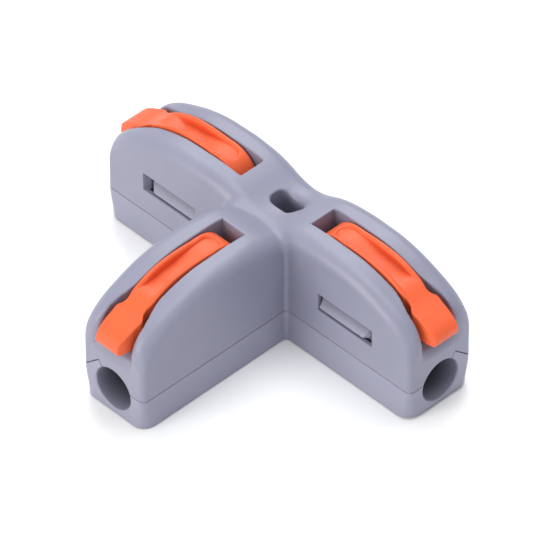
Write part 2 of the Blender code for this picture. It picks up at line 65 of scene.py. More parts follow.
# Lengths are in millimetres. A table's rows are (depth, height) or (depth, half width).
# A _DEPTH or _Z pair is where a feature begins and ends, and _HALF is half a width across.

# ---- driving dimensions, read from the frame ----
BASE_LOW, BASE_HIGH = [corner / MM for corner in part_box("base")]
RUN_REACH = BASE_HIGH.x
STEM_REACH = -BASE_LOW.y
ARM_HALF = BASE_HIGH.y
BAR_LOW, BAR_HIGH = [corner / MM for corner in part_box("current_bar")]
JOINTS = {joint["child"]: joint for joint in frame["joints"]}

# ---- case ----
CREST = (
    (-1.0, 8.1), (0.0, 9.55), (0.5, 10.25), (1.3, 11.1), (2.6, 11.98), (4.2, 12.72), (6.4, 13.54),
    (9.0, 14.12), (12.0, 14.28), (14.5, 14.3), (16.5, 14.14), (18.0, 13.7), (19.3, 13.14),
    (20.6, 12.72), (22.0, 12.6),
)
STEM_SINK = ((20.8, 0.0), (23.5, 0.9))
EDGE_RADIUS = 1.5
HUB_EDGE_RADIUS = 1.8
HUB_EDGE_DEPTH = (12.5, 16.5)
END_RADIUS = 0.7
FOOT_END_RADIUS = 1.5
FOOT_RADIUS = 0.12
TURN_UP = (2.9, 0.35)
CORNER_FILLET = 0.45
SADDLE_FILLET = 0.75
SADDLE_Z = (11.2, 12.2)
OVERLAP = 1.0

# ---- seam ----
SEAM_Z = 3.85
SEAM_GAP = 0.05
SEAM_EDGE = 0.04
EAR_DEPTH = 1.6
EAR_SLOPE = ((4.3, 3.62), (2.0, 5.7))
EAR_INNER = ((2.0, 5.7), (1.4, 4.8))

# ---- openings ----
PORT_Z = 3.1
PORT_FUNNEL = ((0.0, 2.42), (3.0, 2.12), (5.6, 2.0), (6.6, 1.35))
PORT_DEPTH = 7.5
PORT_RIM = 0.16
# painted shade: share of the colour that is left deep in the wire ports
PORT_PAINTED_SHADE = 0.2
CHANNEL_HALF = 1.6
CHANNEL_MOUTH_HALF = 2.3
CHANNEL_FLARE = (1.6, 5.2)
CHANNEL_FLOOR_Z = 8.3
CHANNEL_LIP = (1.8, 0.8)
CHANNEL_INNER_DEPTH = 16.5
CHANNEL_CORNER = 0.2
CHANNEL_RIM = 0.15
LIP_RADIUS = 0.75
LIP_DEPTH = (0.0, 1.6)
STOP_DEPTH = (4.7, 5.9)
STOP_TOP_Z = 10.72
STOP_EDGE = 0.12
CHAMBER_DEPTH = (6.9, 16.9)
CHAMBER_HALF = 2.6
CHAMBER_TOP_Z = 9.85
TROUGH_DEPTH = (6.9, 17.4)
TROUGH_HALF = 2.3
TROUGH_FLOOR_Z = 0.9
TROUGH_EDGE = 0.1
WINDOW_DEPTH = (5.35, 12.85)
WINDOW_Z = (6.7, 8.85)
WINDOW_CORNER = 0.12
WINDOW_RIM = 0.1
WINDOW_RAMP_U = (4.22, 3.45)
HOOK_DEPTH = (6.05, 12.76)
HOOK_PLATE_U = (2.9, 3.4)
HOOK_NOSE_U = (4.26, 3.6)
HOOK_NOSE_Z = 6.95
HOOK_TOP_Z = 8.7
HOOK_CHAMFER = 0.76
HOOK_EDGE = 0.06
HOOK_ROOT = 0.1
# painted shade up the hooks: heights where it is darkest and where it ends, and the share of colour
# left
HOOK_PAINTED_SHADE_Z = (8.15, 7.25)
HOOK_PAINTED_SHADE = 0.62
HOOK_ROOM_HALF = 3.72
HOOK_ROOM_TOP_Z = 9.2
PIECE_GAP = 0.3
MIDDLE_PORT = (3.4, 2.3)
MIDDLE_PORT_CORNER = 0.85
MIDDLE_PORT_RIM = (0.12, 0.72)
MIDDLE_PORT_SOFTENING = (0.1, 1.4)
MIDDLE_PORT_SKEW = 0.5
BAR_WAY_RUN = 6.0
BAR_WAY_STEM = 8.5
SEAT_RUN = 4.2
SEAT_STEM = 6.4
SEAT_GAP = 0.02

# ---- lever ----
PIVOT_DEPTH = RUN_REACH - JOINTS["right_lever"]["pos_m"][0] / MM
PIVOT_Z = JOINTS["right_lever"]["pos_m"][2] / MM
HUB_RADIUS = 3.25
LEVER_HALF = 1.43
HUB_ROOT = 0.12
CAM_FLAT = 1.2
CAM_EDGE = 0.15
TRUNNION_RADIUS = 1.0
TRUNNION_HALF = 2.5
TRUNNION_EDGE = 0.12
TRUNNION_ROOT = 0.08
BEARING_MOUTH_HALF = 0.92
LEVER_TOP = (
    (-1.2, 9.35), (-0.4, 10.35), (0.6, 10.95), (2.6, 11.85), (4.8, 13.15), (6.0, 13.72),
    (7.4, 14.1), (9.0, 14.28), (10.6, 14.3), (12.3, 14.2), (14.0, 13.8),
)
LEVER_UNDER = (
    (-1.2, 8.95), (0.6, 9.05), (1.8, 9.2), (2.5, 9.5), (3.2, 10.15), (4.2, 10.8),
    (5.4, 11.1), (7.0, 11.4), (12.3, 11.5),
)
PAD_TOP_HALF = (
    (-1.0, 1.45), (0.4, 1.66), (1.6, 1.72), (2.5, 1.72),
    (2.9, 1.4), (3.3, 1.3), (4.2, 1.43), (5.0, 1.43),
)
PAD_UNDER_HALF = (
    (-1.0, 1.6), (0.4, 1.98), (1.6, 2.02), (2.4, 2.0),
    (2.8, 1.45), (3.2, 1.3), (4.2, 1.43), (5.0, 1.43),
)
LEVER_TIP_DEPTH = -0.78
TIP_RADIUS = 0.25
PAD_EDGE = 0.13
BACK_EDGE = 0.2
BACK_EDGE_DEPTH = (3.0, 6.0)
RECESS_HALF = 0.9
RECESS_END_DEPTH = 14.1
RECESS_DROP = 1.0
RECESS_CLEAR = 0.3
RECESS_RUN_IN = (3.3, 6.9)
RECESS_RUN_OUT = (8.5, 14.0)
RECESS_SHALLOWING = 0.7
RECESS_RIM = 0.36
RECESS_FLOOR_EDGE = 0.06

# ---- clamp spring ----
SPRING_HALF = 1.9
SPRING_SHEET = 0.3
SPRING_WINDOW_HALF = 1.4
SPRING_WINDOW_Z = (4.0, 7.3)
SPRING_LOOP = (14.3, 7.5, 1.95)
SPRING_FOOT = 2.6
SPRING_LEVEL_END_DEPTH = 11.6
SPRING_KNEE = (10.0, 9.2)
SPRING_BEND = (8.3, 0.9)
SPRING_LEG = (8.7, 7.9, 3.4)
SPRING_LOOP_STEPS = 32
SPRING_EDGE = 0.05

# ---- bar ----
BAR_NARROWING = 1.0
BAR_SHOULDER = (6.2, 7.2)
BAR_EDGE = 0.08

# ---- grids ----
SLAB = 24
CASE_STEP = 0.25
FINE_STEP = 0.1
SEAM_STEP = 0.05
LEVER_STEP = 0.1
BAND = 0.35
NARROW_BAND = 0.2
MARGIN = 0.6

# ---- colours and surfaces ----
HOUSING_GREY = (0.236, 0.236, 0.318)
# painted light: the base grey is a little lighter than the housing grey, standing in for floor bounce
# light on the lower sides
BASE_GREY_WITH_PAINTED_BOUNCE = (0.26, 0.26, 0.345)
LEVER_ORANGE = (0.76, 0.114, 0.036)
STEEL = (0.60, 0.61, 0.63)
TIN = (0.78, 0.74, 0.68)
FLOOR_SHADES = ((0.90, 0.90, 0.90), (0.92, 0.92, 0.92))
FLOW_SCALE = 160.0
SINK_SCALE = 420.0
GRAIN_SCALE = 5200.0
GRAIN_DEPTH = 0.00001


class Arm:
    """One arm: where it points, what rides on it and where its seam ear stands."""

    def __init__(self, name, outward, across, reach, ear_side, has_hooks):
        self.name = name
        self.outward = outward
        self.across = across
        self.reach = reach
        self.ear_side = ear_side
        self.has_hooks = has_hooks

    def local(self, x, y):
        depth = self.reach - (self.outward[0] * x + self.outward[1] * y)
        return depth, self.across[0] * x + self.across[1] * y

    def world(self, points):
        """Points given as (depth, u, z) in millimetres, in the frame's metres."""
        a = self.reach - points[:, 0]
        x = self.outward[0] * a + self.across[0] * points[:, 1]
        y = self.outward[1] * a + self.across[1] * points[:, 1]
        return np.stack((x, y, points[:, 2]), axis=1) * MM


ARMS = (
    Arm("right", (1.0, 0.0), (0.0, 1.0), RUN_REACH, 1.0, True),
    Arm("left", (-1.0, 0.0), (0.0, -1.0), RUN_REACH, -1.0, True),
    Arm("stem", (0.0, -1.0), (1.0, 0.0), STEM_REACH, -1.0, False),
)
STEM = ARMS[-1]


# ---------------------------------------------------------------- distance functions

def meet(a, b, radius=0.0):
    """What lies in both shapes, with the edge between them rounded."""
    inner = np.minimum(np.maximum(a, b), -radius)
    return inner + np.hypot(np.maximum(a + radius, 0.0), np.maximum(b + radius, 0.0))


def join(a, b, radius=0.0):
    return -meet(-a, -b, radius)


def cut(shape, tool, radius=0.0):
    return meet(shape, -tool, radius)


def between(value, low, high):
    return np.maximum(low - value, value - high)


def ramp(value, low, high):
    t = np.clip((value - low) / (high - low), 0.0, 1.0)
    return t * t * (3.0 - 2.0 * t)


def straight(points, value):
    xs, ys = zip(*points)
    return np.interp(value, xs, ys)


def smooth_table(points, blur=0.35, step=0.02):
    """Fine table of the line through the points, rounded over the blur's length."""
    xs, ys = [np.array(column) for column in zip(*points)]
    fine = np.arange(xs[0], xs[-1] + step, step)
    tangents = np.gradient(ys, xs)
    k = np.clip(np.searchsorted(xs, fine, side="right") - 1, 0, len(xs) - 2)
    span = xs[k + 1] - xs[k]
    t = (fine - xs[k]) / span
    start = (2 * t**3 - 3 * t**2 + 1) * ys[k] + (t**3 - 2 * t**2 + t) * span * tangents[k]
    finish = (3 * t**2 - 2 * t**3) * ys[k + 1] + (t**3 - t**2) * span * tangents[k + 1]
    line = start + finish
    reach = int(2.5 * blur / step)
    kernel = np.exp(-0.5 * (np.arange(-reach, reach + 1) * step / blur) ** 2)
    padded = np.pad(line, reach, mode="reflect", reflect_type="odd")
    return fine, np.convolve(padded, kernel / kernel.sum(), mode="valid")


def read(table, value):
    return np.interp(value, *table)


def slope_factor(table, value, reach=0.05):
    """Turns a height over a sloping line into a distance from it."""
    rise = read(table, value + reach) - read(table, value - reach)
    return 1.0 / np.sqrt(1.0 + (rise / (2.0 * reach)) ** 2)


CREST_TABLE = smooth_table(CREST)
LEVER_TOP_TABLE = smooth_table(LEVER_TOP, 0.25)
LEVER_UNDER_TABLE = smooth_table(LEVER_UNDER, 0.2)
PAD_TOP_TABLE = smooth_table(PAD_TOP_HALF, 0.1)
PAD_UNDER_TABLE = smooth_table(PAD_UNDER_HALF, 0.1)


# ---------------------------------------------------------------- case

def arm_body(depth, u, z, sink=0.0):
    top = (z - read(CREST_TABLE, depth) + sink) * slope_factor(CREST_TABLE, depth)
    edge = EDGE_RADIUS + (HUB_EDGE_RADIUS - EDGE_RADIUS) * ramp(depth, *HUB_EDGE_DEPTH)
    sides = meet(np.abs(u) - ARM_HALF, top, edge)
    corner = FOOT_END_RADIUS + (END_RADIUS - FOOT_END_RADIUS) * ramp(z, 0.0, SEAM_Z)
    return meet(sides, -depth, corner)


def foot_height(x):
    """Height of the underside, which turns up towards both ends of the run."""
    length, rise = TURN_UP
    turn = np.clip((length - RUN_REACH + np.abs(x)) / length, 0.0, 1.0)
    return rise * turn**2


def wire_port(depth, u, z):
    radius = straight(PORT_FUNNEL, depth)
    return np.maximum(np.hypot(u, z - PORT_Z) - radius, depth - PORT_DEPTH)


def case_body(x, y, z):
    """The whole outside, with its wire ports, before the seam parts it."""
    run = arm_body(RUN_REACH - np.abs(x), y, z)
    depth, u = STEM.local(x, y)
    stem = np.maximum(arm_body(depth, u, z, straight(STEM_SINK, depth)), y)
    fillet = CORNER_FILLET + (SADDLE_FILLET - CORNER_FILLET) * ramp(z, *SADDLE_Z)
    body = meet(join(run, stem, fillet), foot_height(x) - z, FOOT_RADIUS)
    for arm in ARMS:
        depth, u = arm.local(x, y)
        body = cut(body, wire_port(depth, u, z), PORT_RIM)
    return body


def under_line(u, z, line):
    """Distance below the straight line through two points of an ear's outline."""
    (u0, z0), (u1, z1) = line
    run, rise = u0 - u1, z0 - z1
    return ((z - z1) * run - (u - u1) * rise) / math.hypot(run, rise)


def below_seam(x, y, z):
    """All that belongs to the base: below the seam, and the ears beside the ports."""
    below = z - SEAM_Z
    for arm in ARMS:
        depth, u = arm.local(x, y)
        side = u * arm.ear_side
        ear = np.maximum(under_line(side, z, EAR_SLOPE), under_line(side, z, EAR_INNER))
        ear = np.maximum(ear, depth - EAR_DEPTH)
        below = np.minimum(below, ear)
    return below


def channel_half(depth):
    flare = CHANNEL_MOUTH_HALF - CHANNEL_HALF
    return CHANNEL_MOUTH_HALF - flare * ramp(depth, *CHANNEL_FLARE)


def lever_channel(depth, u, z):
    """Channel of the lever, with the rib that the closed lever rests on."""
    length, drop = CHANNEL_LIP
    turn = np.clip(depth / length, 0.0, 1.0) * math.pi / 2.0
    floor = CHANNEL_FLOOR_Z - drop * (1.0 - np.sin(turn))
    channel = meet(np.abs(u) - channel_half(depth), depth - CHANNEL_INNER_DEPTH, CHANNEL_CORNER)
    channel = meet(channel, floor - z, CHANNEL_CORNER)
    stop = np.maximum(between(depth, *STOP_DEPTH), z - STOP_TOP_Z)
    return cut(channel, stop, STOP_EDGE)


def under_lever(depth, u, z):
    """Chamber of the clamp, the deep end of the channel and the lever's bearings."""
    room = np.maximum(between(depth, *CHAMBER_DEPTH), z - CHAMBER_TOP_Z)
    room = np.maximum(room, np.abs(u) - CHAMBER_HALF)
    pocket = np.maximum(between(depth, CHAMBER_DEPTH[0], CHANNEL_INNER_DEPTH), np.abs(u) - CHANNEL_HALF)
    pocket = np.maximum(pocket, CHAMBER_TOP_Z - OVERLAP - z)
    hole = np.hypot(depth - PIVOT_DEPTH, z - PIVOT_Z) - TRUNNION_RADIUS - PIECE_GAP
    mouth = np.maximum(np.abs(depth - PIVOT_DEPTH) - BEARING_MOUTH_HALF, z - PIVOT_Z)
    mouth = np.maximum(mouth, CHAMBER_TOP_Z - OVERLAP - z)
    bearing = np.maximum(np.minimum(hole, mouth), np.abs(u) - TRUNNION_HALF - PIECE_GAP)
    return np.minimum(np.minimum(room, pocket), bearing)


def hook_openings(depth, u, z):
    """Window that shows a hook's nose, ramped at its outer end, and room for the tongue."""
    low, high = HOOK_DEPTH[0] - PIECE_GAP, HOOK_DEPTH[1] + PIECE_GAP
    side = np.abs(u)
    window = meet(between(depth, *WINDOW_DEPTH), between(z, *WINDOW_Z), WINDOW_CORNER)
    ramp_u = np.interp(depth, (WINDOW_DEPTH[0], low), WINDOW_RAMP_U)
    through = np.maximum(HOOK_PLATE_U[0] - side, low - depth)
    window = np.maximum(window, np.minimum(ramp_u - side, through))
    room = np.maximum(between(depth, low, high), z - HOOK_ROOM_TOP_Z)
    return window, np.maximum(room, side - HOOK_ROOM_HALF)


def middle_port(x, y, z):
    length, width = MIDDLE_PORT
    qx = np.abs(x) - (length / 2.0 - MIDDLE_PORT_CORNER)
    qy = np.abs(y) - (width / 2.0 - MIDDLE_PORT_CORNER)
    ring = np.hypot(np.maximum(qx, 0.0), np.maximum(qy, 0.0)) + np.minimum(np.maximum(qx, qy), 0.0)
    return np.maximum(ring - MIDDLE_PORT_CORNER, BAR_HIGH.z - z)


def bar_way(x, y, z):
    half = BAR_HIGH.y + PIECE_GAP
    run = np.maximum(np.abs(x) - BAR_WAY_RUN, np.abs(y) - half)
    stem = np.maximum(np.abs(x) - half, between(y, -BAR_WAY_STEM, 0.0))
    return np.maximum(np.minimum(run, stem), z - BAR_HIGH.z - PIECE_GAP)


def housing_shape(x, y, z):
    """Everything above the seam, opened for the levers, clamps, hooks and bar."""
    shape = cut(case_body(x, y, z), below_seam(x, y, z) - SEAM_GAP / 2.0, SEAM_EDGE)
    for arm in ARMS:
        depth, u = arm.local(x, y)
        rim = LIP_RADIUS + (CHANNEL_RIM - LIP_RADIUS) * ramp(depth, *LIP_DEPTH)
        shape = cut(shape, lever_channel(depth, u, z), rim)
        shape = cut(shape, under_lever(depth, u, z))
        if arm.has_hooks:
            window, room = hook_openings(depth, u, z)
            shape = cut(cut(shape, window, WINDOW_RIM), room)
    sharp, soft = MIDDLE_PORT_RIM
    rim = sharp + (soft - sharp) * ramp(y + MIDDLE_PORT_SKEW * x, *MIDDLE_PORT_SOFTENING)
    shape = cut(shape, middle_port(x, y, z), rim)
    return cut(shape, bar_way(x, y, z))


def snap_hook(depth, u, z):
    """Upright tongue on each side; its nose is hollowed and stands out at its foot."""
    side = np.abs(u)
    foot_u, top_u = HOOK_NOSE_U
    height, lean = HOOK_TOP_Z - HOOK_NOSE_Z, foot_u - top_u
    share = np.clip((HOOK_TOP_Z - z) / height, 0.0, 1.0)
    face = (side - top_u - lean * share**2) / np.hypot(1.0, 2.0 * lean * share / height)
    chamfer = (HOOK_DEPTH[0] - depth + side - foot_u + HOOK_CHAMFER) / math.sqrt(2.0)
    nose = np.maximum(np.maximum(face, chamfer), HOOK_NOSE_Z - z)
    ends = between(depth, *HOOK_DEPTH)
    plate = np.minimum(side - HOOK_PLATE_U[1], nose)
    plate = np.maximum(plate, HOOK_PLATE_U[0] - side)
    rise = between(z, SEAM_Z - OVERLAP, HOOK_TOP_Z)
    return meet(meet(plate, ends, HOOK_EDGE), rise, HOOK_EDGE)


def base_shape(x, y, z):
    """Everything below the seam, with the bar's seat, the hooks and the troughs."""
    shape = meet(case_body(x, y, z), below_seam(x, y, z) + SEAM_GAP / 2.0, SEAM_EDGE)
    run_seat = np.maximum(np.abs(x) - SEAT_RUN, np.abs(y) - BAR_HIGH.y)
    stem_seat = np.maximum(np.abs(x) - BAR_HIGH.y, between(y, -SEAT_STEM, 0.0))
    rise = between(z, SEAM_Z - OVERLAP, BAR_LOW.z - SEAT_GAP)
    shape = np.minimum(shape, np.maximum(np.minimum(run_seat, stem_seat), rise))
    for arm in ARMS:
        depth, u = arm.local(x, y)
        if arm.has_hooks:
            shape = join(shape, snap_hook(depth, u, z), HOOK_ROOT)
        trough = np.maximum(between(depth, *TROUGH_DEPTH), between(z, TROUGH_FLOOR_Z, CHAMBER_TOP_Z))
        shape = cut(shape, np.maximum(trough, np.abs(u) - TROUGH_HALF), TROUGH_EDGE)
    return shape


# ---------------------------------------------------------------- lever

def lever_recess(depth, u, z, top):
    """Groove in the arched back, deep behind the neck and shallow at its round inner end."""
    shallowing = RECESS_SHALLOWING * ramp(depth, *RECESS_RUN_OUT)
    share = ramp(depth, *RECESS_RUN_IN) * (1.0 - shallowing)
    drop = (RECESS_DROP + RECESS_CLEAR) * share - RECESS_CLEAR
    past = np.maximum(depth - RECESS_END_DEPTH + RECESS_HALF, 0.0)
    return meet(np.hypot(past, u) - RECESS_HALF, top - drop - z, RECESS_FLOOR_EDGE)


def lever_blade(depth, u, z, top):
    """Arched back and widening pad, from the tip to above the pivot."""
    under = read(LEVER_UNDER_TABLE, depth)
    share = np.clip((z - under) / np.maximum(top - under, 0.1), 0.0, 1.0)
    half = (1.0 - share) * read(PAD_UNDER_TABLE, depth) + share * read(PAD_TOP_TABLE, depth)
    above = (z - top) * slope_factor(LEVER_TOP_TABLE, depth)
    beneath = (under - z) * slope_factor(LEVER_UNDER_TABLE, depth)
    side = np.abs(u) - half
    edge = PAD_EDGE + (BACK_EDGE - PAD_EDGE) * ramp(depth, *BACK_EDGE_DEPTH)
    blade = meet(meet(above, side, edge), meet(beneath, LEVER_TIP_DEPTH - depth, TIP_RADIUS), PAD_EDGE)
    return np.maximum(blade, depth - PIVOT_DEPTH)


def lever_shape(depth, u, z):
    """Whole lever: its blade with the recess, the hub with its cam flat and the trunnions."""
    top = read(LEVER_TOP_TABLE, depth)
    from_pivot = np.hypot(depth - PIVOT_DEPTH, z - PIVOT_Z)
    hub = meet(from_pivot - HUB_RADIUS, np.abs(u) - LEVER_HALF, BACK_EDGE)
    hub = meet(hub, PIVOT_Z - CAM_FLAT - z, CAM_EDGE)
    pins = meet(from_pivot - TRUNNION_RADIUS, np.abs(u) - TRUNNION_HALF, TRUNNION_EDGE)
    lever = join(lever_blade(depth, u, z, top), hub, HUB_ROOT)
    lever = cut(lever, lever_recess(depth, u, z, top), RECESS_RIM)
    return join(lever, pins, TRUNNION_ROOT)


# ---------------------------------------------------------------- skinning

def grid_line(low, high, step, bands=()):
    """Sample places from low to high; each band (start, end, step) is sampled finer."""
    places = [low]
    while places[-1] < high:
        here = places[-1]
        fine = [width for start, end, width in bands if start - step <= here < end]
        places.append(here + min([step, *fine]))
    return np.array(places)


def shifted(array, steps):
    return array[tuple(slice(s, size - 1 + s) for s, size in zip(steps, array.shape))]


def cell_points(values, lines, cells):
    """Middle of the places where the surface crosses the edges of each cell."""
    total = np.zeros((len(cells), 3))
    weight = np.zeros(len(cells))
    for axis in range(3):
        step = np.eye(3, dtype=int)[axis]
        for offset in itertools.product((0, 1), repeat=3):
            if offset[axis]:
                continue
            start = cells + offset
            end = start + step
            v0, v1 = values[tuple(start.T)], values[tuple(end.T)]
            crosses = (v0 < 0.0) != (v1 < 0.0)
            share = np.where(crosses, v0 / np.where(crosses, v0 - v1, 1.0), 0.0)
            p0 = np.stack([line[i] for line, i in zip(lines, start.T)], axis=1)
            p1 = np.stack([line[i] for line, i in zip(lines, end.T)], axis=1)
            total += np.where(crosses[:, None], p0 + share[:, None] * (p1 - p0), 0.0)
            weight += crosses
    return total / weight[:, None]


def cell_quads(inside, index):
    """One quad round each grid edge that the surface crosses, facing outwards."""
    quads = []
    for axis in range(3):
        b, c = (axis + 1) % 3, (axis + 2) % 3
        along = np.eye(3, dtype=int)
        ends = [slice(None)] * 3
        starts = [slice(None)] * 3
        starts[axis], ends[axis] = slice(0, -1), slice(1, None)
        first, second = inside[tuple(starts)], inside[tuple(ends)]
        for leaves, order in ((first & ~second, 1), (~first & second, -1)):
            edge = np.argwhere(leaves)
            ring = [edge - along[b] - along[c], edge - along[c], edge, edge - along[b]]
            quads.append(np.stack([index[tuple(cell.T)] for cell in ring], axis=1)[:, ::order])
    return np.concatenate(quads)


def gradient(shape, points, reach=0.006):
    slopes = []
    for axis in range(3):
        step = np.zeros(3)
        step[axis] = reach
        ahead, behind = points + step, points - step
        slopes.append((shape(*ahead.T) - shape(*behind.T)) / (2.0 * reach))
    return np.stack(slopes, axis=1)


def settle(shape, points, rounds=4, longest=0.12, flattest=0.3):
    """Moves the points straight onto the surface."""
    for _ in range(rounds):
        slope = gradient(shape, points)
        size = np.maximum((slope**2).sum(axis=1), flattest)
        step = (shape(*points.T) / size)[:, None] * slope
        length = np.linalg.norm(step, axis=1, keepdims=True)
        points = points - step * np.minimum(1.0, longest / np.maximum(length, 1e-9))
    return points


def skin(shape, lines):
    """Vertices, quads and exact normals of the surface, in the shape's own units."""
    xs, ys, zs = lines
    values = np.empty([len(line) for line in lines], np.float32)
    for i in range(0, len(xs), SLAB):
        values[i:i + SLAB] = shape(xs[i:i + SLAB, None, None], ys[None, :, None], zs[None, None, :])
    inside = values < 0.0
    corners = [shifted(inside, steps) for steps in itertools.product((0, 1), repeat=3)]
    count = sum(corner.astype(np.uint8) for corner in corners)
    cells = np.argwhere((count > 0) & (count < 8))
    index = np.full(count.shape, -1, np.int64)
    index[tuple(cells.T)] = np.arange(len(cells))
    points = settle(shape, cell_points(values, lines, cells))
    normals = gradient(shape, points)
    normals /= np.maximum(np.linalg.norm(normals, axis=1, keepdims=True), 1e-9)
    return points, cell_quads(inside, index), normals


def mesh_object(name, points, quads, normals):
    mesh = bpy.data.meshes.new(name)
    mesh.vertices.add(len(points))
    mesh.vertices.foreach_set("co", points.astype(np.float32).ravel())
    mesh.loops.add(quads.size)
    mesh.loops.foreach_set("vertex_index", quads.astype(np.int32).ravel())
    mesh.polygons.add(len(quads))
    mesh.polygons.foreach_set("loop_start", np.arange(0, quads.size, 4, dtype=np.int32))
    mesh.polygons.foreach_set("loop_total", np.full(len(quads), 4, np.int32))
    mesh.update(calc_edges=True)
    mesh.shade_smooth()
    mesh.normals_split_custom_set_from_vertices(normals.tolist())
    obj = bpy.data.objects.new(name, mesh)
    bpy.context.scene.collection.objects.link(obj)
    return obj


def bands(*places, width=BAND, step=FINE_STEP):
    """Finer sampling on both sides of each place."""
    return [(place - width, place + width, step) for place in places]


def case_lines(top_z):
    coarse = 1.0
    window = [RUN_REACH - depth for depth in (*WINDOW_DEPTH, HOOK_DEPTH[0])]
    x_places = [RUN_REACH, *window, CHANNEL_HALF, ARM_HALF]
    x_bands = bands(*x_places, *[-x for x in x_places])
    y_bands = bands(-STEM_REACH, -ARM_HALF, -CHANNEL_HALF, CHANNEL_HALF, ARM_HALF)
    z_bands = bands(CHANNEL_FLOOR_Z, *WINDOW_Z) + bands(0.0, width=NARROW_BAND)
    z_bands += bands(SEAM_Z, width=NARROW_BAND, step=SEAM_STEP)
    step = CASE_STEP * coarse
    return (
        grid_line(-RUN_REACH - MARGIN, RUN_REACH + MARGIN, step, x_bands),
        grid_line(-STEM_REACH - MARGIN, ARM_HALF + MARGIN, step, y_bands),
        grid_line(-MARGIN, top_z + MARGIN, step, z_bands),
    )


# ---------------------------------------------------------------- materials

def new_material(name):
    mat = bpy.data.materials.new(name)
    mat.use_nodes = True
    nodes = mat.node_tree.nodes
    coords = nodes.new("ShaderNodeTexCoord")
    return mat, nodes, mat.node_tree.links, nodes["Principled BSDF"], coords.outputs["Object"]


def noise(nodes, links, coords, scale, detail=4.0):
    node = nodes.new("ShaderNodeTexNoise")
    node.inputs["Scale"].default_value = scale
    node.inputs["Detail"].default_value = detail
    links.new(coords, node.inputs["Vector"])
    return node.outputs["Fac"]


def shades(nodes, links, factor, dark, light, low=0.3, high=0.7):
    node = nodes.new("ShaderNodeValToRGB")
    node.color_ramp.elements[0].position = low
    node.color_ramp.elements[0].color = (*dark, 1.0)
    node.color_ramp.elements[1].position = high
    node.color_ramp.elements[1].color = (*light, 1.0)
    links.new(factor, node.inputs["Fac"])
    return node.outputs["Color"]


def spread(nodes, links, factor, low, high):
    node = nodes.new("ShaderNodeMapRange")
    node.inputs["To Min"].default_value = low
    node.inputs["To Max"].default_value = high
    links.new(factor, node.inputs["Value"])
    return node.outputs["Result"]


def bump(nodes, links, height, distance, strength, under=None):
    node = nodes.new("ShaderNodeBump")
    node.inputs["Distance"].default_value = distance
    node.inputs["Strength"].default_value = strength
    links.new(height, node.inputs["Height"])
    if under is not None:
        links.new(under, node.inputs["Normal"])
    return node.outputs["Normal"]


def vector_math(nodes, links, operation, vector, other):
    node = nodes.new("ShaderNodeVectorMath")
    node.operation = operation
    links.new(vector, node.inputs[0])
    node.inputs[1].default_value = other
    return node.outputs


def with_painted_shade(nodes, links, color, place, dark_at, light_at, share):
    """Painted shade: colour scaled down to a share of itself where the place's value is dark_at."""
    dimming = spread(nodes, links, place, share, 1.0)
    dimming.node.inputs["From Min"].default_value = dark_at
    dimming.node.inputs["From Max"].default_value = light_at
    node = nodes.new("ShaderNodeVectorMath")
    node.operation = "SCALE"
    links.new(color, node.inputs[0])
    links.new(dimming, node.inputs["Scale"])
    return node.outputs["Vector"]


def painted_hook_shade(nodes, links, coords, color):
    """Painted shade: colour darkened up the hooks, towards the window's upper edge, which keeps light
    off them.
    """
    parts = nodes.new("ShaderNodeSeparateXYZ")
    links.new(coords, parts.inputs["Vector"])
    dark_at, light_at = [z * MM for z in HOOK_PAINTED_SHADE_Z]
    return with_painted_shade(nodes, links, color, parts.outputs["Z"], dark_at, light_at, HOOK_PAINTED_SHADE)


def painted_port_shade(nodes, links, coords, color):
    """Painted shade: colour darkened into the wire ports, by the distance from their axes, where little
    light gets in.
    """
    across_run = vector_math(nodes, links, "MULTIPLY", coords, (0.0, 1.0, 1.0))["Vector"]
    run = vector_math(nodes, links, "DISTANCE", across_run, (0.0, 0.0, PORT_Z * MM))["Value"]
    hub_edge = -ARM_HALF * MM
    along_stem = vector_math(nodes, links, "MAXIMUM", coords, (-1.0, hub_edge, -1.0))["Vector"]
    stem = vector_math(nodes, links, "DISTANCE", along_stem, (0.0, hub_edge, PORT_Z * MM))["Value"]
    nearer = nodes.new("ShaderNodeMath")
    nearer.operation = "MINIMUM"
    links.new(run, nearer.inputs[0])
    links.new(stem, nearer.inputs[1])
    light_at, dark_at = [radius * MM for _, radius in PORT_FUNNEL[:2]]
    return with_painted_shade(nodes, links, color, nearer.outputs["Value"], dark_at, light_at, PORT_PAINTED_SHADE)


def moulded_plastic(name, color, roughness, specular, glow, painted_shades=()):
    """Satin injection-moulded plastic: fine spark texture, faint flow tint; the functions passed in
    darken its colour with painted shade.
    """
    mat, nodes, links, shader, coords = new_material(name)
    flow = noise(nodes, links, coords, FLOW_SCALE)
    dark = [value * 0.955 for value in color]
    light = [min(value * 1.03, 1.0) for value in color]
    tint = shades(nodes, links, flow, dark, light)
    # painted shade laid over the tint
    for add_painted_shade in painted_shades:
        tint = add_painted_shade(nodes, links, coords, tint)
    links.new(tint, shader.inputs["Base Color"])
    grain = noise(nodes, links, coords, GRAIN_SCALE, 3.0)
    satin = spread(nodes, links, grain, roughness - 0.05, roughness + 0.06)
    links.new(satin, shader.inputs["Roughness"])
    sink = bump(nodes, links, noise(nodes, links, coords, SINK_SCALE, 2.0), 0.00012, 0.10)
    links.new(bump(nodes, links, grain, GRAIN_DEPTH, 0.22, sink), shader.inputs["Normal"])
    shader.inputs["IOR"].default_value = 1.5
    shader.inputs["Specular IOR Level"].default_value = specular
    shader.inputs["Subsurface Weight"].default_value = glow
    shader.inputs["Subsurface Radius"].default_value = (1.0, 0.6, 0.5)
    shader.inputs["Subsurface Scale"].default_value = 0.0008
    return mat


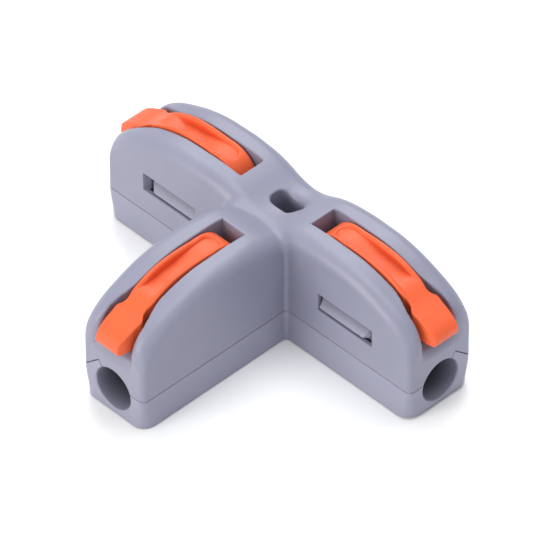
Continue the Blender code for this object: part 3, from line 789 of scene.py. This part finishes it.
def drawn_metal(name, color, roughness, stretch):
    """Metal strip with fine rolling lines and a little tarnish."""
    mat, nodes, links, shader, coords = new_material(name)
    mapping = nodes.new("ShaderNodeMapping")
    mapping.inputs["Scale"].default_value = stretch
    links.new(coords, mapping.inputs["Vector"])
    lines = noise(nodes, links, mapping.outputs["Vector"], 2600.0, 3.0)
    stain = noise(nodes, links, coords, 500.0)
    dark = [value * 0.82 for value in color]
    links.new(shades(nodes, links, stain, dark, color), shader.inputs["Base Color"])
    polish = spread(nodes, links, lines, roughness - 0.07, roughness + 0.1)
    links.new(polish, shader.inputs["Roughness"])
    links.new(bump(nodes, links, lines, GRAIN_DEPTH, 0.3), shader.inputs["Normal"])
    shader.inputs["Metallic"].default_value = 1.0
    return mat


# ---------------------------------------------------------------- pieces

def finish_piece(obj, material, body, node):
    obj.data.materials.append(material)
    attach(obj, body)
    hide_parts(node)
    return obj


def build_case():
    # Both case colours carry painted shade in the wire ports; the base's also carries painted shade up
    # its hooks.
    grey = moulded_plastic("housing_plastic", HOUSING_GREY, 0.42, 0.5, 0.08, (painted_port_shade,))
    lower = moulded_plastic("base_plastic", BASE_GREY_WITH_PAINTED_BOUNCE, 0.43, 0.5, 0.08, (painted_port_shade, painted_hook_shade))
    top_z = max(z for _, z in CREST)
    points, quads, normals = skin(housing_shape, case_lines(top_z))
    housing = mesh_object("housing_shell", points * MM, quads, normals)
    finish_piece(housing, grey, "block", "upper_housing")
    points, quads, normals = skin(base_shape, case_lines(HOOK_TOP_Z))
    base = mesh_object("base_tray", points * MM, quads, normals)
    finish_piece(base, lower, "block", "base")


def build_levers():
    """One lever is skinned in its arm's coordinates and turned to each arm."""
    step = LEVER_STEP * 1.0
    inner = PIVOT_DEPTH + HUB_RADIUS
    lines = (
        grid_line(LEVER_TIP_DEPTH - MARGIN, inner + MARGIN, step),
        grid_line(-TRUNNION_HALF - MARGIN, TRUNNION_HALF + MARGIN, step),
        grid_line(LEVER_UNDER[0][1] - MARGIN, PIVOT_Z + HUB_RADIUS + MARGIN, step),
    )
    points, quads, normals = skin(lever_shape, lines)
    orange = moulded_plastic("lever_plastic", LEVER_ORANGE, 0.40, 0.3, 0.06)
    for arm in ARMS:
        placed = arm.world(points)
        facing = (arm.world(points + normals) - placed) / MM
        lever = mesh_object("lever_" + arm.name + "_moulding", placed, quads[:, ::-1], facing)
        finish_piece(lever, orange, arm.name + "_lever", "lever_" + arm.name)


def spring_line():
    """Side view of the strip as (depth, z), from its foot on the bar to its edge."""
    loop_depth, loop_z, radius = SPRING_LOOP
    foot_z = loop_z - radius
    line = [(loop_depth - SPRING_FOOT, foot_z), (loop_depth - SPRING_FOOT / 2.0, foot_z)]
    for i in range(SPRING_LOOP_STEPS + 1):
        turn = math.radians(270.0 - 180.0 * i / SPRING_LOOP_STEPS)
        line.append((loop_depth - radius * math.cos(turn), loop_z + radius * math.sin(turn)))
    line.append((SPRING_LEVEL_END_DEPTH, loop_z + radius))
    line.append(SPRING_KNEE)
    leg_depth, leg_top, leg_end = SPRING_LEG
    bend_z, bend = SPRING_BEND
    for angle in range(70, 0, -10):
        turn = math.radians(angle)
        line.append((leg_depth + bend - bend * math.cos(turn), bend_z + bend * math.sin(turn)))
    window_low, window_high = SPRING_WINDOW_Z
    return line + [(leg_depth, z) for z in (leg_top, window_high, window_low, leg_end)]


def build_springs():
    """Bent strips, each with a window that the bar and the wire pass through."""
    steel = drawn_metal("spring_steel", STEEL, 0.24, (0.25, 1.0, 1.0))
    line = spring_line()
    across = (-SPRING_HALF, -SPRING_WINDOW_HALF, SPRING_WINDOW_HALF, SPRING_HALF)
    quads = []
    for i, j in itertools.product(range(len(line) - 1), range(3)):
        if i == len(line) - 3 and j == 1:
            continue
        quads.append((i * 4 + j, i * 4 + j + 1, i * 4 + j + 5, i * 4 + j + 4))
    for arm in ARMS:
        points = np.array([(depth, u, z) for depth, z in line for u in across])
        mesh = bpy.data.meshes.new("clamp_" + arm.name)
        mesh.from_pydata(arm.world(points).tolist(), [], quads)
        spring = bpy.data.objects.new("clamp_strip_" + arm.name, mesh)
        bpy.context.scene.collection.objects.link(spring)
        sheet = spring.modifiers.new("sheet", "SOLIDIFY")
        sheet.thickness = SPRING_SHEET * MM
        sheet.offset = 0.0
        edges = spring.modifiers.new("stamped edges", "BEVEL")
        edges.width = SPRING_EDGE * MM
        edges.segments = 2
        edges.angle_limit = math.radians(50.0)
        mesh.shade_smooth()
        spring = applied(spring)
        finish_piece(spring, steel, "block", "clamp_spring_" + arm.name)
        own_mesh(spring)


def applied(obj):
    """The object with its modifiers applied to its mesh."""
    graph = bpy.context.evaluated_depsgraph_get()
    mesh = bpy.data.meshes.new_from_object(obj.evaluated_get(graph))
    obj.modifiers.clear()
    obj.data = mesh
    return obj


def build_bar():
    """T-shaped bar, wide in the hub and narrow where it enters the springs."""
    run, stem, wide = BAR_HIGH.x, BAR_LOW.y, BAR_HIGH.y
    narrow = wide - BAR_NARROWING
    shoulder, step = BAR_SHOULDER
    right = [
        (narrow, stem), (narrow, -step), (wide, -shoulder), (wide, -wide), (shoulder, -wide),
        (step, -narrow), (run, -narrow), (run, narrow), (step, narrow), (shoulder, wide),
    ]
    outline = right + [(-x, y) for x, y in reversed(right)]
    low, high = BAR_LOW.z, BAR_HIGH.z
    count = len(outline)
    points = [(x * MM, y * MM, z * MM) for z in (low, high) for x, y in outline]
    faces = [tuple(reversed(range(count))), tuple(range(count, 2 * count))]
    for i in range(count):
        after = (i + 1) % count
        faces.append((i, after, after + count, i + count))
    mesh = bpy.data.meshes.new("bar_sheet")
    mesh.from_pydata(points, [], faces)
    bar = bpy.data.objects.new("bar_strip", mesh)
    bpy.context.scene.collection.objects.link(bar)
    edges = bar.modifiers.new("stamped edges", "BEVEL")
    edges.width = BAR_EDGE * MM
    edges.segments = 3
    tin = drawn_metal("tinned_copper", TIN, 0.28, (1.0, 0.2, 1.0))
    finish_piece(applied(bar), tin, "block", "current_bar")


# ---------------------------------------------------------------- stage

FLOOR_SIZE = 3.0
FLOOR_DROP = 0.00005
WORLD_COLOR = (0.95, 0.97, 1.0, 1.0)
WORLD_STRENGTH = 0.5
LIGHTS = (
    # name, location, size, power, colour
    ("front_key", (-0.20, -0.90, 0.32), 0.6, 6.3, (1.0, 0.98, 0.92)),
    ("overhead", (0.0, 0.06, 1.0), 0.9, 6.7, (0.98, 0.99, 1.0)),
    ("back_left", (-0.50, 0.50, 0.72), 0.68, 4.2, (1.0, 1.0, 1.0)),
    ("right_fill", (0.90, -0.10, 0.32), 0.6, 0.8, (0.95, 0.97, 1.0)),
)
CAMERA_AZIMUTH = math.radians(45.66)
CAMERA_ELEVATION = math.radians(42.64)
CAMERA_DISTANCE = 0.7
CAMERA_TARGET = Vector((-3.109, 1.377, 0.0)) * MM
CAMERA_LENS = 457.4


def build_floor():
    bpy.ops.mesh.primitive_plane_add(size=FLOOR_SIZE, location=(0.0, 0.0, -FLOOR_DROP))
    floor = bpy.context.object
    floor.name = "floor"
    mat, nodes, links, shader, coords = new_material("pale_floor")
    paper = noise(nodes, links, coords, 60.0)
    links.new(shades(nodes, links, paper, *FLOOR_SHADES), shader.inputs["Base Color"])
    shader.inputs["Roughness"].default_value = 0.9
    floor.data.materials.append(mat)


def area_light(name, location, size, power, color):
    """Round soft box that looks at the object."""
    data = bpy.data.lights.new(name, "AREA")
    data.shape = "DISK"
    data.size = size
    data.energy = power
    data.color = color
    light = bpy.data.objects.new(name, data)
    light.location = location
    light.rotation_euler = (-light.location).to_track_quat("-Z", "Y").to_euler()
    bpy.context.scene.collection.objects.link(light)


def build_lights():
    world = bpy.data.worlds.new("studio")
    world.use_nodes = True
    background = world.node_tree.nodes["Background"]
    background.inputs["Color"].default_value = WORLD_COLOR
    background.inputs["Strength"].default_value = WORLD_STRENGTH
    bpy.context.scene.world = world
    bpy.context.scene.view_settings.view_transform = "Standard"
    for light in LIGHTS:
        area_light(*light)


def build_camera():
    data = bpy.data.cameras.new("camera")
    data.lens = CAMERA_LENS
    data.sensor_width = 36.0
    camera = bpy.data.objects.new("camera", data)
    level = math.cos(CAMERA_ELEVATION)
    back = Vector((
        math.sin(CAMERA_AZIMUTH) * level, -math.cos(CAMERA_AZIMUTH) * level, math.sin(CAMERA_ELEVATION)
    ))
    camera.location = CAMERA_TARGET + back * CAMERA_DISTANCE
    camera.rotation_mode = "QUATERNION"
    camera.rotation_quaternion = (-back).to_track_quat("-Z", "Y")
    bpy.context.scene.collection.objects.link(camera)
    bpy.context.scene.camera = camera


build_camera()
build_case()
build_levers()
build_springs()
build_bar()
build_floor()
build_lights()
